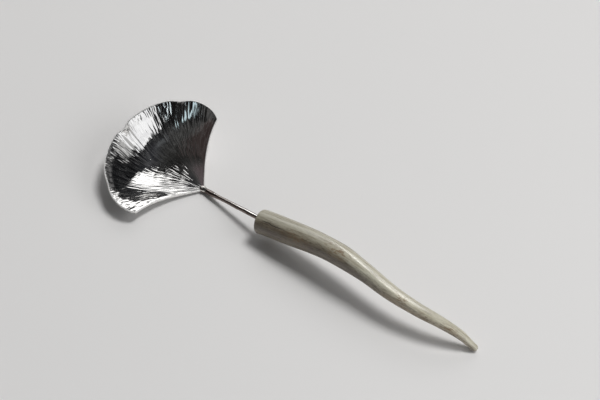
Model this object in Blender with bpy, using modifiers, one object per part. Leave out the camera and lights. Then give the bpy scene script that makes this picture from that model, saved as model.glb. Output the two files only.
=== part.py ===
"""Serving spoon: a silver bowl in the form of a fan-shaped leaf, a forged stem and an antler handle.

Metres, +Z up. The spoon lies on the plane z = 0 with its length along X, the rim of the bowl at -X and the
tip of the handle at +X. The origin is the middle of the underside of its bounding box.
"""
from math import cos, pi, radians, sin, tan

import bmesh
import bpy
import numpy as np
from mathutils import Matrix, Vector

# Bowl: a fan of sheet silver that spreads from the petiole, dished and flared at the rim
SHEET = 0.0012
LEAF_LENGTH = 0.0668
LEAF_SIDE_LENGTH = 0.0485
LEAF_SKEW = 0.0008
LEAF_HALF_ANGLE = radians(66)
SIDE_EDGE_SWEEP = radians(11)
PETIOLE_RADIUS = 0.0022
RIM_RISE = 0.0205
CORNER_RISE = 0.0135
BOWL_DEPTH = 0.0125
CORNER_ROUND = 0.0015
NOTCH_DEPTH = 0.0030
NOTCH_HALF_WIDTH = 0.0030
DIP_DEPTH = 0.0014
DIP_HALF_WIDTH = 0.0050
LEAF_ROLL = radians(9)
RIM_LEAN = radians(1.5)
REST_FLAT_DEPTH = 0.0007

# How the bowl's curves bend: the rim line, the climb from petiole to rim, and the dish below it
RIM_ARC_SHARE = 0.7
RIM_ARC_POWER = 2
RIM_SHOULDER_POWER = 8
CORNER_POWER = 40
DIP_PLACE = 0.6
HOLLOW_FADE_POWER = 6
CLIMB_POWER = 1.3
CLIMB_SIDE_POWER = 4
DISH_PLACE_POWER = 1.6
DISH_FLARE_POWER = 1.5
DISH_SIDE_POWER = 1.2

# Stem: one forged rod with a tongue under the bowl and a tang in the handle
STEM_DIAMETER = 0.0031
NECK_DIAMETER = 0.0036
NECK_SETBACK = 0.0034
NECK_LENGTH = 0.0085
TONGUE_LENGTH = 0.0140
TONGUE_WIDTH = 0.0046
TONGUE_THICKNESS = 0.0013
TONGUE_TAPER = 0.0035
TONGUE_END_WIDTH = 0.0018
TONGUE_END_THICKNESS = 0.0007
TANG_LENGTH = 0.0300

# Handle: an antler tine, sawn square at the stem end; its length runs to the middle of the rounded tip
STEM_REACH = 0.0522
HANDLE_LENGTH = 0.1632
BUTT_DIAMETER = 0.0166
BUTT_EDGE_ROUND = 0.0009
TIP_DIAMETER = 0.0046
TINE_SWAY = 0.0050
TINE_ARCH = 0.0200
BORE_RAISE = 0.0011
BORE_SIDE_SHIFT = 0.0008
DRILL_POINT_ANGLE = radians(31)
ADHESIVE_WALL = 0.0007
ADHESIVE_PLUG = 0.0023

# Each station of the tine: shares of its length, sway and arch, and its girth from tip (0) to butt (1)
TINE_STATION_SHARES = (
    (0.00, -0.90, 0.185, 1.00),
    (0.14, -0.68, 0.415, 0.98),
    (0.28, -0.48, 0.640, 0.90),
    (0.405, -0.54, 0.760, 0.81),
    (0.505, -0.76, 0.790, 0.63),
    (0.63, -1.12, 0.740, 0.50),
    (0.75, -1.06, 0.655, 0.36),
    (0.86, -0.54, 0.525, 0.25),
    (0.94, 0.02, 0.300, 0.14),
    (1.00, 0.36, 0.005, 0.00),
)

# Solder bead over the joint of stem and petiole
BEAD_LENGTH = 0.0062
BEAD_WIDTH = 0.0042
BEAD_HEIGHT = 0.0024

# Gaps between pieces that touch
JOINT_GAP = 0.0002
GLUE_GAP = 0.0002

# Faces along and around each form
LEAF_STEPS_OUT = 16
LEAF_STEPS_ACROSS = 54
STEM_RINGS = 34
STEM_SIDES = 14
TINE_RINGS = 34
TINE_BEVEL_STEPS = 7
BORE_SIDES = 24
BEAD_SEGMENTS = 16
BEAD_RINGS = 10
END_RINGS = 5

# Mesh settings: last ring of the tip, edges that stay sharp, points that are one point, step for a slope
TIP_LAST_TURN = radians(14)
SHARP_ANGLE = radians(40)
MERGE_DISTANCE = 0.000001
SLOPE_STEP = 0.01


def clear_scene():
    for old in list(bpy.data.objects):
        bpy.data.objects.remove(old, do_unlink=True)


def make_collection(name):
    collection = bpy.data.collections.new(name)
    bpy.context.scene.collection.children.link(collection)
    return collection


def make_material(name, colour, metallic, roughness):
    material = bpy.data.materials.new(name)
    material.use_nodes = True
    shader = material.node_tree.nodes["Principled BSDF"]
    shader.inputs["Base Color"].default_value = (*colour, 1.0)
    shader.inputs["Metallic"].default_value = metallic
    shader.inputs["Roughness"].default_value = roughness
    return material


def add_object(name, mesh, collection, root):
    piece = bpy.data.objects.new(name, mesh)
    collection.objects.link(piece)
    piece.parent = root
    return piece


def finish_part(piece, material):
    piece.data.materials.append(material)
    piece.data.shade_smooth()
    piece.data.set_sharp_from_angle(angle=SHARP_ANGLE)


def mark_cutter(piece):
    piece.hide_render = True
    piece.display_type = "WIRE"


def cut(piece, cutter, name):
    boolean = piece.modifiers.new(name, "BOOLEAN")
    boolean.operation = "DIFFERENCE"
    boolean.solver = "EXACT"
    boolean.object = cutter


def evaluated_corners(piece):
    """World positions of the piece's vertices with its modifiers applied."""
    bpy.context.view_layer.update()
    evaluated = piece.evaluated_get(bpy.context.evaluated_depsgraph_get())
    return np.array([evaluated.matrix_world @ corner.co for corner in evaluated.data.vertices])


def smooth_path(keys, shares):
    """Catmull-Rom curve through the rows of keys, read at shares of its chord length."""
    keys = np.asarray(keys, dtype=float)
    chords = np.linalg.norm(np.diff(keys[:, :3], axis=0), axis=1)
    knots = np.concatenate(([0.0], np.cumsum(chords)))
    slopes = np.gradient(keys, knots, axis=0)
    places = np.asarray(shares) * knots[-1]
    spans = np.clip(np.searchsorted(knots, places, side="right") - 1, 0, len(chords) - 1)
    length = chords[spans]
    part = ((places - knots[spans]) / length)[:, None]
    length = length[:, None]
    start, end = keys[spans], keys[spans + 1]
    leave, arrive = slopes[spans] * length, slopes[spans + 1] * length
    return (
        start * (2 * part**3 - 3 * part**2 + 1)
        + leave * (part**3 - 2 * part**2 + part)
        + end * (3 * part**2 - 2 * part**3)
        + arrive * (part**3 - part**2)
    )


# Bowl

def rim_arc(across):
    """Distance from the petiole to the rim; across runs from -1 to 1 between the corners.

    The rim is an arc that draws in towards the corners. One side is a little longer than the other.
    """
    edge = abs(across)
    bend = RIM_ARC_SHARE * edge**RIM_ARC_POWER + (1 - RIM_ARC_SHARE) * edge**RIM_SHOULDER_POWER
    shortening = (LEAF_LENGTH - LEAF_SIDE_LENGTH) * bend + CORNER_ROUND * edge**CORNER_POWER
    return LEAF_LENGTH - shortening - LEAF_SKEW * across


def rim_hollow(offset, depth, half_width):
    """Rounded hollow in the rim, read at an offset from its middle given in shares of half the rim."""
    arc = LEAF_LENGTH * LEAF_HALF_ANGLE * offset
    return depth * 2.0 ** (-((arc / half_width) ** 2))


def rim_hollows(across):
    """Notch in the middle of the rim and a shallow dip on each side, which part it into four lobes."""
    notch = rim_hollow(across, NOTCH_DEPTH, NOTCH_HALF_WIDTH)
    dips = rim_hollow(abs(across) - DIP_PLACE, DIP_DEPTH, DIP_HALF_WIDTH)
    return notch + dips


def leaf_point(out, across, grow=0.0):
    """Inner face of the bowl in the leaf's frame; out runs from 0 at the petiole to 1 at the rim.

    A straight fan climbs from the petiole to the rim. The dish sinks below it, deepest two thirds of the
    way out, and fades to nothing at the rim and the side edges, so that both flare. The rim leans up to
    one side.
    """
    angle = across * (LEAF_HALF_ANGLE - SIDE_EDGE_SWEEP * (1 - out**2))
    start = PETIOLE_RADIUS - grow
    radius = start + (rim_arc(across) - start) * out - rim_hollows(across) * out**HOLLOW_FADE_POWER
    rise = RIM_RISE + (CORNER_RISE - RIM_RISE) * abs(across) ** CLIMB_SIDE_POWER
    hollow = sin(pi * out**DISH_PLACE_POWER) ** DISH_FLARE_POWER * (1 - across**2) ** DISH_SIDE_POWER
    sideways = radius * sin(angle)
    height = rise * out**CLIMB_POWER - BOWL_DEPTH * hollow + tan(RIM_LEAN) * sideways * out**2 + grow
    return Vector((-radius * cos(angle), sideways, height))


def leaf_surface(name, grow=0.0):
    """Grid of faces laid on leaf_point, with its face normals up."""
    mesh = bpy.data.meshes.new(name)
    form = bmesh.new()
    bmesh.ops.create_grid(form, x_segments=LEAF_STEPS_OUT, y_segments=LEAF_STEPS_ACROSS, size=1.0)
    for corner in form.verts:
        out = min(max((1 - corner.co.x) / 2, 0.0), 1.0)
        across = min(max(corner.co.y, -1.0), 1.0)
        corner.co = leaf_point(out, across, grow)
    form.to_mesh(mesh)
    form.free()
    return mesh


def thicken(piece, thickness):
    shell = piece.modifiers.new("sheet", "SOLIDIFY")
    shell.thickness = thickness
    shell.offset = -1.0
    shell.use_even_offset = True


def make_bowl(parts, cutters, root, material):
    """Sheet shell, rolled to one side as the spoon lies, lowered onto the table and dressed flat there."""
    bowl = add_object("bowl", leaf_surface("bowl"), parts, root)
    thicken(bowl, SHEET)
    bowl.rotation_euler.x = LEAF_ROLL
    corners = evaluated_corners(bowl)
    bowl.location.z = -corners[:, 2].min() - REST_FLAT_DEPTH
    size = 2 * LEAF_LENGTH
    table_mesh = bpy.data.meshes.new("table_cut")
    form = bmesh.new()
    bmesh.ops.create_cube(form, size=size)
    form.to_mesh(table_mesh)
    form.free()
    table = add_object("table_cut", table_mesh, cutters, root)
    table.location = (-LEAF_LENGTH / 2, 0.0, -size / 2)
    mark_cutter(table)
    cut(bowl, table, "rest_flat")
    finish_part(bowl, material)
    return bowl


# Stem

def tongue_point(leaf, distance):
    """Middle of the tongue under the leaf's midrib, at a distance from the petiole."""
    out = (distance - PETIOLE_RADIUS) / (rim_arc(0.0) - PETIOLE_RADIUS)
    out = max(out, 0.0)
    here = leaf_point(out, 0.0)
    slope = leaf_point(out + SLOPE_STEP, 0.0) - here
    down = slope.cross(Vector((0.0, 1.0, 0.0))).normalized()
    if down.z > 0:
        down.negate()
    return leaf @ (here + down * (SHEET + JOINT_GAP + TONGUE_THICKNESS / 2))


def butt_centre():
    share, sway, arch, girth = TINE_STATION_SHARES[0]
    return Vector((STEM_REACH, sway * TINE_SWAY, arch * TINE_ARCH + BUTT_DIAMETER / 2))


def bore_mouth():
    """Point where the stem enters the sawn end, a little off its middle."""
    return butt_centre() + Vector((0.0, BORE_SIDE_SHIFT, BORE_RAISE))


def neck_point(leaf):
    return leaf @ Vector((NECK_SETBACK, 0.0, -SHEET / 2))


def tang_direction(leaf):
    return (bore_mouth() - neck_point(leaf)).normalized()


def stem_sections(leaf):
    """Rows of x, y, z, width and thickness, from the end of the tongue to the end of the tang."""
    neck = neck_point(leaf)
    mouth = bore_mouth()
    along = tang_direction(leaf)
    waist = neck + along * NECK_LENGTH
    return [
        (*tongue_point(leaf, TONGUE_LENGTH), TONGUE_END_WIDTH, TONGUE_END_THICKNESS),
        (*tongue_point(leaf, TONGUE_LENGTH - TONGUE_TAPER), TONGUE_WIDTH, TONGUE_THICKNESS),
        (*tongue_point(leaf, PETIOLE_RADIUS), TONGUE_WIDTH, TONGUE_THICKNESS),
        (*neck, NECK_DIAMETER, NECK_DIAMETER),
        (*((neck + waist) / 2), NECK_DIAMETER, NECK_DIAMETER),
        (*waist, STEM_DIAMETER, STEM_DIAMETER),
        (*((waist + mouth) / 2), STEM_DIAMETER, STEM_DIAMETER),
        (*mouth, STEM_DIAMETER, STEM_DIAMETER),
        (*(mouth + along * TANG_LENGTH), STEM_DIAMETER, STEM_DIAMETER),
    ]


def stem_mesh(name, leaf, grow=0.0):
    """Loft of ellipses along the stem, flat under the bowl and round beyond it."""
    shares = np.linspace(0.0, 1.0, STEM_RINGS)
    rows = smooth_path(stem_sections(leaf), shares)
    tangents = np.gradient(rows[:, :3], axis=0)
    side_axis = leaf.to_3x3() @ Vector((0.0, 1.0, 0.0))
    form = bmesh.new()
    rings = []
    for row, tangent in zip(rows, tangents):
        ahead = Vector(tangent).normalized()
        up = ahead.cross(side_axis).normalized()
        side = up.cross(ahead)
        ring = []
        for step in range(STEM_SIDES):
            angle = 2 * pi * step / STEM_SIDES
            across = side * cos(angle) * (row[3] / 2 + grow)
            rise = up * sin(angle) * (row[4] / 2 + grow)
            ring.append(form.verts.new(Vector(row[:3]) + across + rise))
        rings.append(ring)
    for first, second in zip(rings, rings[1:]):
        for step in range(STEM_SIDES):
            after = (step + 1) % STEM_SIDES
            form.faces.new((first[step], first[after], second[after], second[step]))
    form.faces.new(rings[0])
    form.faces.new(rings[-1])
    bmesh.ops.recalc_face_normals(form, faces=form.faces)
    mesh = bpy.data.meshes.new(name)
    form.to_mesh(mesh)
    form.free()
    return mesh


def make_stem(parts, root, material, leaf):
    stem = add_object("stem", stem_mesh("stem", leaf), parts, root)
    finish_part(stem, material)
    return stem


# Solder

def make_solder(parts, cutters, root, material, leaf):
    """Flattened bead over the petiole, fitted to the sheet and the stem below it."""
    mesh = bpy.data.meshes.new("solder_fillet")
    form = bmesh.new()
    bmesh.ops.create_uvsphere(form, u_segments=BEAD_SEGMENTS, v_segments=BEAD_RINGS, radius=0.5)
    bmesh.ops.scale(form, vec=(BEAD_LENGTH, BEAD_WIDTH, BEAD_HEIGHT), verts=form.verts)
    form.to_mesh(mesh)
    form.free()
    bead = add_object("solder_fillet", mesh, parts, root)
    bead.matrix_local = leaf
    sheet = add_object("sheet_clearance", leaf_surface("sheet_clearance", JOINT_GAP), cutters, root)
    sheet.matrix_local = leaf
    thicken(sheet, SHEET + 2 * JOINT_GAP)
    mark_cutter(sheet)
    rod = add_object("stem_clearance", stem_mesh("stem_clearance", leaf, JOINT_GAP), cutters, root)
    mark_cutter(rod)
    cut(bead, sheet, "clear_of_sheet")
    cut(bead, rod, "clear_of_stem")
    finish_part(bead, material)
    return bead


# Handle

def round_share(distances, size):
    """Share of the full radius at each distance from a rounded end of that size."""
    share = np.clip(distances / size, 0.0, 1.0)
    return np.sqrt(1 - (1 - share) ** 2)


def tine_rows():
    """Rows of x, y, z and radius along the tine, rounded at the sawn edge and at the tip."""
    keys = []
    for share, sway, arch, girth in TINE_STATION_SHARES:
        radius = (TIP_DIAMETER + (BUTT_DIAMETER - TIP_DIAMETER) * girth) / 2
        centre = arch * TINE_ARCH + radius
        keys.append((STEM_REACH + share * HANDLE_LENGTH, sway * TINE_SWAY, centre, radius))
    keys = np.array(keys)
    tip_radius = TIP_DIAMETER / 2
    last_run = keys[-1] - keys[-2]
    last_run[3] = 0.0
    keys = np.vstack((keys, keys[-1] + last_run * tip_radius / np.linalg.norm(last_run)))
    path_length = np.linalg.norm(np.diff(keys[:, :3], axis=0), axis=1).sum()

    butt_ends = BUTT_EDGE_ROUND * (1 - np.cos(np.linspace(0.0, pi / 2, END_RINGS)))
    tip_ends = tip_radius * (1 - np.cos(np.linspace(pi / 2, TIP_LAST_TURN, END_RINGS)))
    body = np.linspace(butt_ends[-1], path_length - tip_ends[0], TINE_RINGS + 2)[1:-1]
    places = np.concatenate((butt_ends, body, path_length - tip_ends))
    rows = smooth_path(keys, places / path_length)
    rows[:, 3] -= BUTT_EDGE_ROUND * (1 - round_share(places, BUTT_EDGE_ROUND))
    rows[:, 3] *= round_share(path_length - places, tip_radius)
    return rows


def turned_mesh(name, profile, cutters, root):
    """Mesh turned from a profile of radius and height about the local Z axis."""
    mesh = bpy.data.meshes.new(name + "_profile")
    edges = [(step, step + 1) for step in range(len(profile) - 1)]
    mesh.from_pydata([(radius, 0.0, height) for radius, height in profile], edges, [])
    outline = add_object(name + "_profile", mesh, cutters, root)
    screw = outline.modifiers.new("turn", "SCREW")
    screw.steps = BORE_SIDES
    screw.render_steps = BORE_SIDES
    screw.use_merge_vertices = True
    screw.merge_threshold = MERGE_DISTANCE
    bpy.context.view_layer.update()
    evaluated = outline.evaluated_get(bpy.context.evaluated_depsgraph_get())
    turned = bpy.data.meshes.new_from_object(evaluated)
    turned.name = name
    bpy.data.objects.remove(outline, do_unlink=True)
    return turned


def adhesive_radius():
    return STEM_DIAMETER / 2 + GLUE_GAP + ADHESIVE_WALL


def bore_frame(leaf):
    """Local Z points out of the bore's mouth, along the stem towards the bowl."""
    turn = (-tang_direction(leaf)).to_track_quat("Z", "Y").to_matrix().to_4x4()
    return Matrix.Translation(bore_mouth()) @ turn


def make_handle(parts, cutters, root, material, leaf):
    """Tapering round tine along its curve, with a blind bore for the tang."""
    curve = bpy.data.curves.new("tine", "CURVE")
    curve.dimensions = "3D"
    curve.bevel_depth = BUTT_DIAMETER / 2
    curve.bevel_resolution = TINE_BEVEL_STEPS
    curve.use_fill_caps = True
    rows = tine_rows()
    spline = curve.splines.new("POLY")
    spline.points.add(len(rows) - 1)
    for point, row in zip(spline.points, rows):
        point.co = (*row[:3], 1.0)
        point.radius = row[3] / curve.bevel_depth
    tine = add_object("tine", curve, cutters, root)
    bpy.context.view_layer.update()
    evaluated = tine.evaluated_get(bpy.context.evaluated_depsgraph_get())
    mesh = bpy.data.meshes.new_from_object(evaluated)
    mesh.name = "handle"
    form = bmesh.new()
    form.from_mesh(mesh)
    bmesh.ops.remove_doubles(form, verts=form.verts, dist=MERGE_DISTANCE)
    bmesh.ops.recalc_face_normals(form, faces=form.faces)
    form.to_mesh(mesh)
    form.free()
    handle = add_object("handle", mesh, parts, root)
    handle.matrix_world = tine.matrix_world
    bpy.data.objects.remove(tine, do_unlink=True)

    radius = adhesive_radius() + GLUE_GAP
    bottom = TANG_LENGTH + ADHESIVE_PLUG + 2 * GLUE_GAP
    point = bottom + radius * tan(DRILL_POINT_ANGLE)
    profile = [(0.0, BUTT_DIAMETER), (radius, BUTT_DIAMETER), (radius, -bottom), (0.0, -point)]
    bore = add_object("tang_bore", turned_mesh("tang_bore", profile, cutters, root), cutters, root)
    bore.matrix_local = bore_frame(leaf)
    mark_cutter(bore)
    cut(handle, bore, "bore")
    finish_part(handle, material)
    return handle


def make_adhesive(parts, cutters, root, material, leaf):
    """Cup of cured adhesive that fills the bore round the tang and below its end."""
    outer = adhesive_radius()
    inner = outer - ADHESIVE_WALL
    mouth = -BUTT_EDGE_ROUND
    floor = -(TANG_LENGTH + GLUE_GAP)
    bottom = floor - ADHESIVE_PLUG
    point = bottom - outer * tan(DRILL_POINT_ANGLE)
    profile = [(0.0, floor), (inner, floor), (inner, mouth), (outer, mouth), (outer, bottom), (0.0, point)]
    mesh = turned_mesh("tang_adhesive", profile, cutters, root)
    adhesive = add_object("tang_adhesive", mesh, parts, root)
    adhesive.matrix_local = bore_frame(leaf)
    finish_part(adhesive, material)
    return adhesive


def centre_on_table(root, pieces):
    """Moves the whole spoon so that the middle of its box lies over the origin."""
    corners = np.concatenate([evaluated_corners(piece) for piece in pieces])
    low, high = corners.min(axis=0), corners.max(axis=0)
    root.location.x = -(low[0] + high[0]) / 2
    root.location.y = -(low[1] + high[1]) / 2
    root.location.z = -low[2]
    bpy.context.view_layer.update()


def main():
    clear_scene()
    parts = make_collection("serving_spoon")
    cutters = make_collection("cutters")
    root = bpy.data.objects.new("spoon_on_table", None)
    parts.objects.link(root)

    silver = make_material("hammered_silver", (0.80, 0.80, 0.81), 1.0, 0.16)
    forged = make_material("forged_silver", (0.70, 0.69, 0.68), 1.0, 0.28)
    solder = make_material("silver_solder", (0.78, 0.76, 0.72), 1.0, 0.25)
    antler = make_material("antler", (0.58, 0.54, 0.43), 0.0, 0.45)
    glue = make_material("cured_adhesive", (0.45, 0.36, 0.20), 0.0, 0.35)

    bowl = make_bowl(parts, cutters, root, silver)
    bpy.context.view_layer.update()
    leaf = bowl.matrix_local.copy()
    stem = make_stem(parts, root, forged, leaf)
    bead = make_solder(parts, cutters, root, solder, leaf)
    handle = make_handle(parts, cutters, root, antler, leaf)
    adhesive = make_adhesive(parts, cutters, root, glue, leaf)
    centre_on_table(root, [bowl, stem, bead, handle, adhesive])


main()
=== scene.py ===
"""Looks of the serving spoon: a hammered silver bowl, a forged stem, a solder bead and an antler handle.

Metres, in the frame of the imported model: X along the spoon from the bowl to the tip of the handle, Z up
from the table. Every new piece is a surface worked out on a grid of two parameters.
"""
from collections import namedtuple
from math import cos, pi, radians, sin, tan

import bmesh
import bpy
import numpy as np
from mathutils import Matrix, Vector


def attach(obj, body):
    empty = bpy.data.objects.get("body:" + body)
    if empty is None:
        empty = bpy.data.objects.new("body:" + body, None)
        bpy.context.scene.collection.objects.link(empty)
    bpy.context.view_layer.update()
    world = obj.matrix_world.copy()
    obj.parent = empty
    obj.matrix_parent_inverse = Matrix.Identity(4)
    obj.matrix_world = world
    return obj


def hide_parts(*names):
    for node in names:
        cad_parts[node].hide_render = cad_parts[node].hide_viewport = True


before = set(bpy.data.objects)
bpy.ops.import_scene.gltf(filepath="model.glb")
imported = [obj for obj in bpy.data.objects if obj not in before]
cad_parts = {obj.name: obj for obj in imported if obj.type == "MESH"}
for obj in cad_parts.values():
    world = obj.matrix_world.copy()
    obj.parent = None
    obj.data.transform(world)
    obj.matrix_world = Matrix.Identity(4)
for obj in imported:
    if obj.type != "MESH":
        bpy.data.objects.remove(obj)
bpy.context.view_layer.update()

# Bowl, as in the solid
SHEET = 0.0012
LEAF_LENGTH = 0.0668
LEAF_SIDE_LENGTH = 0.0485
LEAF_SKEW = 0.0008
LEAF_HALF_ANGLE = radians(66)
SIDE_EDGE_SWEEP = radians(11)
PETIOLE_RADIUS = 0.0022
RIM_RISE = 0.0205
CORNER_RISE = 0.0135
BOWL_DEPTH = 0.0125
CORNER_ROUND = 0.0015
NOTCH_DEPTH = 0.0030
NOTCH_HALF_WIDTH = 0.0030
DIP_DEPTH = 0.0014
DIP_HALF_WIDTH = 0.0050
DIP_PLACE = 0.6
LEAF_ROLL = radians(9)
RIM_LEAN = radians(1.5)
RIM_ARC_SHARE = 0.7
RIM_ARC_POWER = 2
RIM_SHOULDER_POWER = 8
CORNER_POWER = 40
CLIMB_POWER = 1.3
CLIMB_SIDE_POWER = 4
DISH_PLACE_POWER = 1.6
DISH_FLARE_POWER = 1.5
DISH_SIDE_POWER = 1.2
PETIOLE_PLACE = np.array((-0.075277, 0.002908, 0.003093))

# Bowl beyond the solid: crisper hollows in the rim, a steeper far wall with a bend and a dip, a lip along
# the near side edge, and the filed and rounded edge of the sheet. Pairs are the limits of smooth steps
HOLLOW_FADE_POWER = 24
WALL_POWER = 1.42
WALL_STEEPENING = 0.36
FAR_WALL_ACROSS = (-0.2, 0.25)
LIP_START = 0.90
LIP_RUN_UP = 0.2
LIP_OVERLAP = 0.02
LIP_HEIGHT = 0.00075
LIP_OUT = (0.26, 0.58)
BEND_START = 0.45
BEND_OUT = (BEND_START, 0.60)
BEND_NEAR_END = (0.25, 0.45)
BEND_FAR_END = (0.84, 1.0)
BEND_PLACE = 0.84
BEND_DEPTH = 0.0007
BEND_ROUND = 0.02
FAR_DIP_SINK = 0.45
LEAST_SINE = 1e-9
EDGE_SWELL = 0.0004
RIM_BAND = 0.0005
FILED_SHARES = np.array((0.08, 0.85, 1.0))
EDGE_OVERHANG = 1.06
EDGE_TURNS = np.linspace(0.4 * pi, 0.9 * pi, 3)

# Stem, solder and handle, as in the solids
STEM_DIAMETER = 0.0031
NECK_DIAMETER = 0.0036
NECK_SETBACK = 0.0034
NECK_LENGTH = 0.0085
TONGUE_LENGTH = 0.0140
TONGUE_WIDTH = 0.0046
TONGUE_THICKNESS = 0.0013
TONGUE_TAPER = 0.0035
TONGUE_END_WIDTH = 0.0018
TONGUE_END_THICKNESS = 0.0007
TANG_LENGTH = 0.0300
STEM_REACH = 0.0522
HANDLE_LENGTH = 0.1632
BUTT_DIAMETER = 0.0166
BUTT_EDGE_ROUND = 0.0009
TIP_DIAMETER = 0.0046
TINE_SWAY = 0.0050
TINE_ARCH = 0.0200
BORE_RADIUS = 0.00265
BORE_DEPTH = 0.0340
BORE_RAISE = 0.0011
BORE_SIDE_SHIFT = 0.0008
TINE_STATION_SHARES = (
    (0.00, -0.90, 0.185, 1.00),
    (0.14, -0.68, 0.415, 0.98),
    (0.28, -0.48, 0.640, 0.90),
    (0.405, -0.54, 0.760, 0.81),
    (0.505, -0.76, 0.790, 0.63),
    (0.63, -1.12, 0.740, 0.50),
    (0.75, -1.06, 0.655, 0.36),
    (0.86, -0.54, 0.525, 0.25),
    (0.94, 0.02, 0.300, 0.14),
    (1.00, 0.36, 0.005, 0.00),
)
BEAD_SIZE = np.array((0.0062, 0.0042, 0.0024))
JOINT_GAP = 0.0002

# Hammer marks on the bowl: length along the radius, width, depth and seed
Marks = namedtuple("Marks", "length width depth seed")
STROKES = Marks(0.0055, 0.0014, 0.000062, 11)
PLANISHING = Marks(0.0060, 0.0042, 0.00007, 12)
DENTS = Marks(0.0060, 0.0034, 0.00008, 13)
LIP_DENTS = Marks(0.0026, 0.0017, 0.00012, 15)
PEENING = Marks(0.0018, 0.0015, 0.00013, 16)
FAN_LINES = Marks(0.0120, 0.0012, 0.00007, 17)

# A mark's scatter along and across its row, its half length and the lift of its floor, in its own size,
# with the height that counts as level and the rounding of the ridges
MARK_SHIFT = 0.9
MARK_SLIDE = 0.6
MARK_LEAST_HALF = 0.55
MARK_SWELL = 0.4
MARK_LIFT = 0.7
MARK_MIDDLE = 0.5
RIDGE_ROUND = 0.22
LEAST_MARKS = 3
NEIGHBOURS = range(-2, 3)
DRAW_ROWS = 64
DRAW_CELLS = 512

# Zones of the marks on the inner face, as limits of smooth steps out and across, with the share they keep
PLAIN_EDGE_ACROSS = (0.80, 0.93)
PLAIN_EDGE_OUT = (0.1, 0.3)
PLAINNESS = 0.8
LIP_DENTS_ACROSS = (0.70, 0.90)
LIP_DENTS_OUT = (0.35, 0.60)
LIP_SMOOTHNESS = 0.6
FAN_OUT = (0.30, 0.55)
FAN_ACROSS = (0.1, 0.4)
FAN_FADE = 0.5
PEENED_OUT = (0.92, 0.945)
PEENED_ACROSS = (0.30, 0.42)
DENTS_OUT = (0.6, 0.85)
LEAST_DENTS = 0.4

# Force of the strokes: inside, out on the wall, and its changes across the rim; it varies in patches
INNER_FORCE = 0.5
WALL_FORCE = 0.5
WALL_OUT = (0.42, 0.62)
RIM_OUT = (0.82, 0.92)
NEAR_RIM_FORCE = -0.4
RIM_FORCES = ((1.2, (0.50, 0.62)), (-0.4, (0.25, 0.35)))
BLOW_PATCH_LENGTH = 0.012
BLOW_PATCH_WIDTH = 0.010
BLOW_SEED = 14
BLOW_LIMITS = (-0.5, 0.4)
LEAST_BLOW = 0.60
BLOW_SPREAD = 0.50

# Rubbing of the ridges between strokes, less on the near wall, and of the peened band; the mauve painted
# reflection
RUBBING = 0.075
NEAR_RUBBING_LOSS = 0.050
NEAR_WALL_ACROSS = (0.15, 0.45)
NEAR_WALL_OUT = (0.45, 0.65)
STROKE_RIDGES = (0.60, 1.0)
PEEN_RUBBING = 0.20
PEEN_RIDGES = (0.35, 0.85)
PAINTED_MAUVE_ACROSS = (0.25, 0.70)
PAINTED_MAUVE_OUT = (0.20, 0.40)

# Uneven skin of the round pieces: height, length along the piece, count round it and seed
Waves = namedtuple("Waves", "height length count seed")
FACETS = Waves(0.05, 0.0035, 5, 21)
SWELLINGS = (Waves(0.00022, 0.026, 3, 41), Waves(0.00010, 0.011, 5, 42))
GUTTERS = Waves(0.00009, 0.030, 34, 43)
FINE_GUTTERS = Waves(0.00003, 0.008, 60, 44)
BACK_EDGE = Waves(0.14, 0.009, 9, 46)
LATTICE = 256

# Side of the stem that carries a painted highlight, as an angle round it, and two nicks there with painted
# glints, as distances along it
STEM_BACK_TURN = radians(84)
NICKS = (0.0246, 0.0266)
NICK_LENGTH = 0.0005
NICK_HEIGHT = 0.0002
NICK_SPREAD = 0.5
NICK_PAINTED_GLINT = 1.5
PAINTED_HIGHLIGHT_COSINES = (0.86, 0.97)
PAINTED_HIGHLIGHT_RUN = (0.024, 0.064)
LEAST_PAINTED_HIGHLIGHT = 0.12

# Skin of the solder bead
BEAD_UNEVENNESS = 0.06
BEAD_WAVES = 6
BEAD_WAVE_RATE = 3
BEAD_WAVE_START = 7
BEAD_SEED = 31

# Relief of the antler: a keel along the back, and a drying crack near the sawn end. The keel's places are
# shares of the tine's length and degrees round it, the crack's are distances from the sawn end
KEEL_SHARES = (0.24, 0.34, 0.43, 0.63, 0.80)
KEEL_TURNS = (60, 76, 96, 114, 122)
KEEL_HEIGHT = 0.00050
KEEL_WIDTH = 0.38
KEEL_ROUND = 0.06
KEEL_START = (0.22, 0.36)
KEEL_END = (0.60, 0.78)
CRACK_OPENING = (0.004, 0.008)
CRACK_CLOSING = (0.018, 0.026)
CRACK_TURN = 126
CRACK_DEPTH = 0.00040
CRACK_HALF_WIDTH = 0.00026
CRACK_SWING = 0.05
CRACK_BEND_LENGTH = 0.0035
CRACK_SEED = 45

# Smooth back of the antler, wider along its middle, and the guttered lower side, less so towards the tip;
# the lower side is coloured brown, partly its own colour and partly painted shade
BACK_TURN = radians(75)
BACK_WIDENING = radians(16)
WIDE_BACK_START = (0.38, 0.50)
WIDE_BACK_END = (0.74, 0.86)
LOWER_SIDE = (radians(24), radians(78))
TIP_RUN = (0.60, 0.88)
TIP_LOSS = 0.42
LEAST_GUTTERS = 0.25
BUTT_FADE = 0.004
TIP_FADE = 0.012

# Flecked places of the antler: share of the length, degrees round it and reach; the spread is an angle
FLECKS = (
    (0.37, 112, 0.050),
    (0.66, 124, 0.055),
    (0.20, 150, 0.060),
    (0.77, 156, 0.035),
    (0.87, 128, 0.032),
)
FLECK_SPREAD = 0.55

# Rows and columns of each surface
BOWL_ROWS = 72
ROW_CROWDING = 1.3
BOWL_COLUMNS = 620
SLOPE_STEP = 0.001
STEM_RINGS = 400
STEM_SIDES = 40
TINE_RINGS = 420
TINE_SIDES = 160
BUTT_RINGS = 8
TIP_RINGS = 16
TIP_LAST_TURN = radians(6)
FACE_RINGS = 14
BORE_RING_DEPTHS = (BORE_DEPTH, 0.020, 0.008, 0.002)
BEAD_RINGS = 40
BEAD_SIDES = 64


# Meshes

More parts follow.
